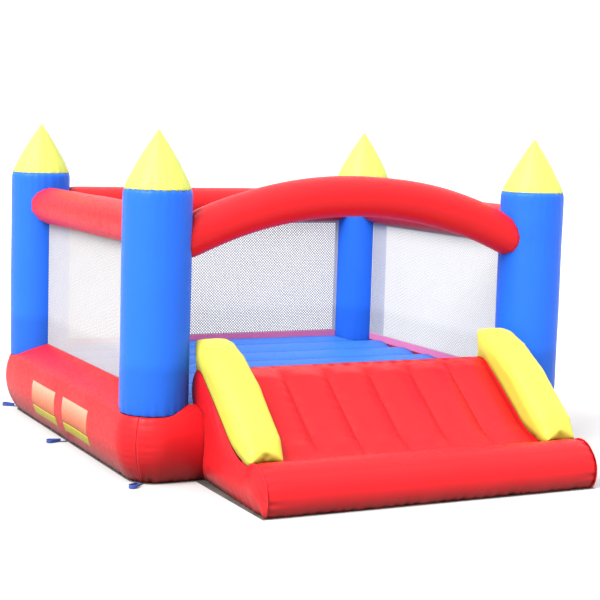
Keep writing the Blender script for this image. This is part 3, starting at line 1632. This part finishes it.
class Sleeves(bpy.types.Operator):
    """Sew the air sleeves on the back wall and their tie straps"""
    bl_idname = "bounce_house.sleeves"
    bl_label = "Air sleeves"

    def execute(self, context):
        strap = woven_tape("tie_strap", tuple(colours().strap), 900.0)
        for number, name in enumerate(("inlet", "outlet")):
            self.make_sleeve(name, 100 + number)
            self.make_strap(name, strap)
        return {"FINISHED"}

    def make_sleeve(self, name, seed):
        low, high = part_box(name + "_sleeve")
        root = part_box(name + "_collar")[0].y
        radius = (high.x - low.x) / 2
        strap_low, strap_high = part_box(name + "_strap")
        strap_y = (strap_low.y + strap_high.y) / 2
        hinge = low.y
        stations = graded(root, high.y, 0.008, 0.011, 0.05)
        bm, middle = tube_along_y(low, high, radius, stations)
        _, along, seam = layers_of(bm)
        back = drawn_points(wall_face)
        for v in bm.verts:
            v[along] = v.co.y
            v[seam] = min(abs(v.co.y - hinge), high.y - v.co.y)
            face = HALF_Y + out_at(back, max(0.004, v.co.z)) - 0.004
            share = min(1.0, max(0.0, (hinge - v.co.y) / (hinge - root)))
            if v.co.y < hinge:
                v.co.y = hinge - share * (hinge - face)
        point_outwards(bm, middle)

        def relief(p, a, s, d):
            pleats = fold("sleeve root", a, abs(p.y - hinge), seed)
            ties = fold("sleeve tie", a, abs(p.y - strap_y), seed + 2)
            mouth = fold("sleeve mouth", a, high.y - p.y, seed + 4)
            cinch = bell(p.y, strap_y, 0.024, -0.008)
            return pleats + ties + mouth + cinch + 0.5 * swell(p, seed, 6.0)

        press_folds(bm, relief)
        if name == "outlet":
            far = [e for e in bm.edges if e.is_boundary and e.verts[0].co.y > strap_y]
            bmesh.ops.holes_fill(bm, edges=far, sides=0)
        cloth = make_piece(
            name + "_sleeve_cloth", bm, house_cloth("red"),
            [name + "_collar", name + "_sleeve"], body=None,
            thickness=sizes().fabric,
        )
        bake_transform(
            cloth, HOUSE, name + "_sleeve", start=(middle.x, hinge - 0.035, middle.z),
            end=(middle.x, hinge + 0.045, middle.z),
        )

    def make_strap(self, name, material):
        low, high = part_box(name + "_strap")
        radius = (high.x - low.x) / 2 - 0.0025
        stations = [low.y + (high.y - low.y) * i / 6 for i in range(7)]
        bm, middle = tube_along_y(low, high, radius, stations)
        point_outwards(bm, middle)
        bmesh.ops.solidify(bm, geom=bm.faces[:], thickness=-0.002)
        bmesh.ops.recalc_face_normals(bm, faces=bm.faces)
        make_piece(
            name + "_strap_webbing", bm, material, [name + "_strap"],
            body=name + "_sleeve",
        )


class SidePanels(bpy.types.Operator):
    """Sew the blank panels on the left wall"""
    bl_idname = "bounce_house.side_panels"
    bl_label = "Side panels"

    def execute(self, context):
        hues = colours()
        parts = {  # part: (slot, colour at its top, colour at its foot)
            "upper": ("peach_patch", tuple(hues.panel_top), tuple(hues.panel_low)),
            "lower": ("yellow_patch", tuple(hues.band), tuple(hues.band)),
        }
        for end in ("front", "rear"):
            for part, (slot, top, foot) in parts.items():
                node = "%s_patch_%s" % (end, part)
                low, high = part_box(node)
                material = blank_panel(part + "_panel", top, foot, low.z, high.z)
                self.make_panel(node, slot, low, high, material)
        return {"FINISHED"}

    def make_panel(self, node, slot, low, high, material):
        bm = new_cloth()
        layers = bm.verts.layers.float
        wall = drawn_points(wall_face)
        whole = sum((b - a).length for a, b in zip(wall, wall[1:]))
        bmesh.ops.create_grid(bm, x_segments=44, y_segments=24, size=0.5)
        start = -high.y
        span = high.y - low.y
        for v in bm.verts:
            along = start + (v.co.x + 0.5) * span
            z = low.z + (v.co.y + 0.5) * (high.z - low.z)
            v[layers["seam"]] = min(
                (0.5 - abs(v.co.x)) * span, (0.5 - abs(v.co.y)) * (high.z - low.z)
            )
            v.co = Vector((out_at(wall, z), along, z))
        run, marks = 0.0, [(wall[0].z, 0.0)]
        for before, after in zip(wall, wall[1:]):
            run += (after - before).length
            marks.append((after.z, run))
        for v in bm.verts:
            near = min(marks, key=lambda mark: abs(mark[0] - v.co.z))
            v[layers["across"]], v[layers["along"]] = near[1], v.co.y
        point_outwards(bm, Vector((0, 0, 0.2)))
        matrix = side_matrix("left")
        full = whole + 0.33
        press_folds(
            bm, lambda p, a, s, d: wall_relief("left", matrix @ p, s, HALF_Y, a, full)
            + 0.0012 + 0.0012 * min(1.0, d / 0.01)
        )
        place_on_side(bm, "left")
        panel = make_piece(node + "_cloth", bm, material, [node],
                           thickness=0.0022)


class InnerWebs(bpy.types.Operator):
    """Give the webs inside the floor and the slide their cloth"""
    bl_idname = "bounce_house.inner_webs"
    bl_label = "Inner webs"

    def execute(self, context):
        material = coated_cloth(
            "inner_web_cloth", tuple(colours().web), is_sewn=False, dust=0.0
        )
        for name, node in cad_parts.items():
            if "_baffle_" in name:
                node.data.materials.clear()
                node.data.materials.append(material)
        return {"FINISHED"}


# ---- stage -------------------------------------------------------------------
SKY_STRENGTH = (1.0, 2.4)  # at the horizon and overhead
SUN_STRENGTH = 5.2
SUN_ANGLE = 32.0
SUN_DIRECTION = (0.86, 0.36, -0.80)
CAMERA_LENS = 91.71
CAMERA_PLACE = (-4.6763, -9.8314, 2.1866)
CAMERA_TURN = (26.462, 6.543, 1.744)  # yaw to the right, pitch down and roll


class Stage(bpy.types.Operator):
    """Set up the pale floor, the soft light and the camera"""
    bl_idname = "bounce_house.stage"
    bl_label = "Stage"

    def execute(self, context):
        scene = context.scene
        scene.view_settings.view_transform = "Standard"
        self.make_floor()
        self.make_light(scene)
        self.make_camera(scene)
        return {"FINISHED"}

    def make_floor(self):
        bm = bmesh.new()
        bmesh.ops.create_grid(bm, x_segments=1, y_segments=1, size=60)
        bmesh.ops.translate(bm, verts=bm.verts, vec=(0, 0, -0.0005))
        floor = finish_mesh("studio_floor", bm)
        material, tree, shader = new_material("studio_paper")
        grain = add_node(tree, "ShaderNodeTexNoise", {"Scale": 3.0, "Detail": 2.0})
        tone = map_range(tree, grain.outputs[0], (0.3, 0.7), (0.50, 0.52))
        tree.links.new(tone, shader.inputs["Base Color"])
        shader.inputs["Roughness"].default_value = 0.9
        shader.inputs["Specular IOR Level"].default_value = 0.1
        floor.data.materials.append(material)

    def make_light(self, scene):
        world = bpy.data.worlds.new("studio")
        world.use_nodes = True
        tree = world.node_tree
        direction = add_node(tree, "ShaderNodeTexCoord").outputs["Generated"]
        glow = map_range(tree, height_of(tree, direction), (0.0, 1.0), SKY_STRENGTH)
        tree.links.new(glow, tree.nodes["Background"].inputs["Strength"])
        tree.nodes["Background"].inputs["Color"].default_value = (1.0, 1.0, 1.0, 1.0)
        scene.world = world
        data = bpy.data.lights.new("key_light", "SUN")
        data.energy = SUN_STRENGTH
        data.angle = math.radians(SUN_ANGLE)
        light = add_object("key_light", data)
        light.rotation_euler = Vector(SUN_DIRECTION).to_track_quat("-Z", "Y").to_euler()

    def make_camera(self, scene):
        data = bpy.data.cameras.new("camera")
        data.lens = CAMERA_LENS
        data.sensor_width = 36.0
        data.clip_end = 200.0
        camera = add_object("camera", data)
        yaw, pitch, roll = (math.radians(angle) for angle in CAMERA_TURN)
        ahead, down = math.cos(pitch), math.sin(pitch)
        look = Vector((math.sin(yaw) * ahead, math.cos(yaw) * ahead, -down))
        right = Vector((math.cos(yaw), -math.sin(yaw), 0))
        up = right.cross(look)
        turned_right = math.cos(roll) * right + math.sin(roll) * up
        turned_up = math.cos(roll) * up - math.sin(roll) * right
        rotation = Matrix((turned_right, turned_up, -look)).transposed().to_4x4()
        camera.matrix_world = Matrix.Translation(CAMERA_PLACE) @ rotation
        scene.camera = camera


# ---- panel, registration and the run -----------------------------------------
OPERATORS = (
    Stage, GroundSheet, BaseWalls, BounceFloor, Slide, Bumpers, Posts, Rails, Nets,
    Anchors, Sleeves, SidePanels, InnerWebs,
)


class HousePanel(bpy.types.Panel):
    """Sizes, colours and pieces of the bounce house"""
    bl_idname = "VIEW3D_PT_bounce_house"
    bl_label = "Bounce House"
    bl_space_type = "VIEW_3D"
    bl_region_type = "UI"
    bl_category = "Bounce House"

    def draw(self, context):
        for group in (sizes(), colours()):
            box = self.layout.box()
            for name in group.bl_rna.properties.keys():
                if name not in ("rna_type", "name"):
                    box.prop(group, name)
        for operator in OPERATORS:
            self.layout.operator(operator.bl_idname)


CLASSES = (HouseSizes, HouseColours) + OPERATORS + (HousePanel,)


def register():
    for cls in CLASSES:
        bpy.utils.register_class(cls)
    bpy.types.Scene.bounce_house_sizes = bpy.props.PointerProperty(type=HouseSizes)
    bpy.types.Scene.bounce_house_colours = bpy.props.PointerProperty(type=HouseColours)


def unregister():
    del bpy.types.Scene.bounce_house_colours
    del bpy.types.Scene.bounce_house_sizes
    for cls in reversed(CLASSES):
        bpy.utils.unregister_class(cls)


def main():
    register()
    for operator in OPERATORS:
        getattr(bpy.ops.bounce_house, operator.bl_idname.split(".")[1])()


if __name__ == "__main__":
    main()
